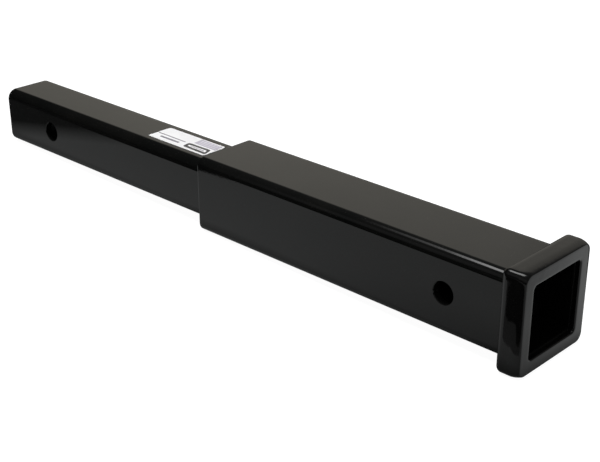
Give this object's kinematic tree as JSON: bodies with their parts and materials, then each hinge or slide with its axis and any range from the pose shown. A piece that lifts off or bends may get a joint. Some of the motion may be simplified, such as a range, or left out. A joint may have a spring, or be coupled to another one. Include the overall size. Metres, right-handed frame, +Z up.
{
  "type": "hitch receiver extender",
  "caption": "Square steel shank welded into a larger collared square socket, cross-drilled at both ends, that moves a trailer hitch's mounting point rearward.",
  "frame": {"origin": "centre of the shank's pin hole, in the middle of the shank", "axes": "+X along the length towards the receiver mouth, +Y across along both pin holes, +Z up"},
  "size_m": [0.5929, 0.0774, 0.0774],
  "materials": {
    "tube_coat": "satin black powder coat",
    "shank_coat": "satin black powder coat",
    "collar_coat": "satin black powder coat",
    "weld_coat": "satin black powder coat over weld ripples",
    "label_vinyl": "white vinyl, satin, with plain print fields"
  },
  "bodies": {
    "root": {"receiver_tube": "tube_coat", "shank_tube": "shank_coat", "collar": "collar_coat", "shank_weld": "weld_coat", "collar_weld": "weld_coat", "label": "label_vinyl"}
  },
  "joints": []
}
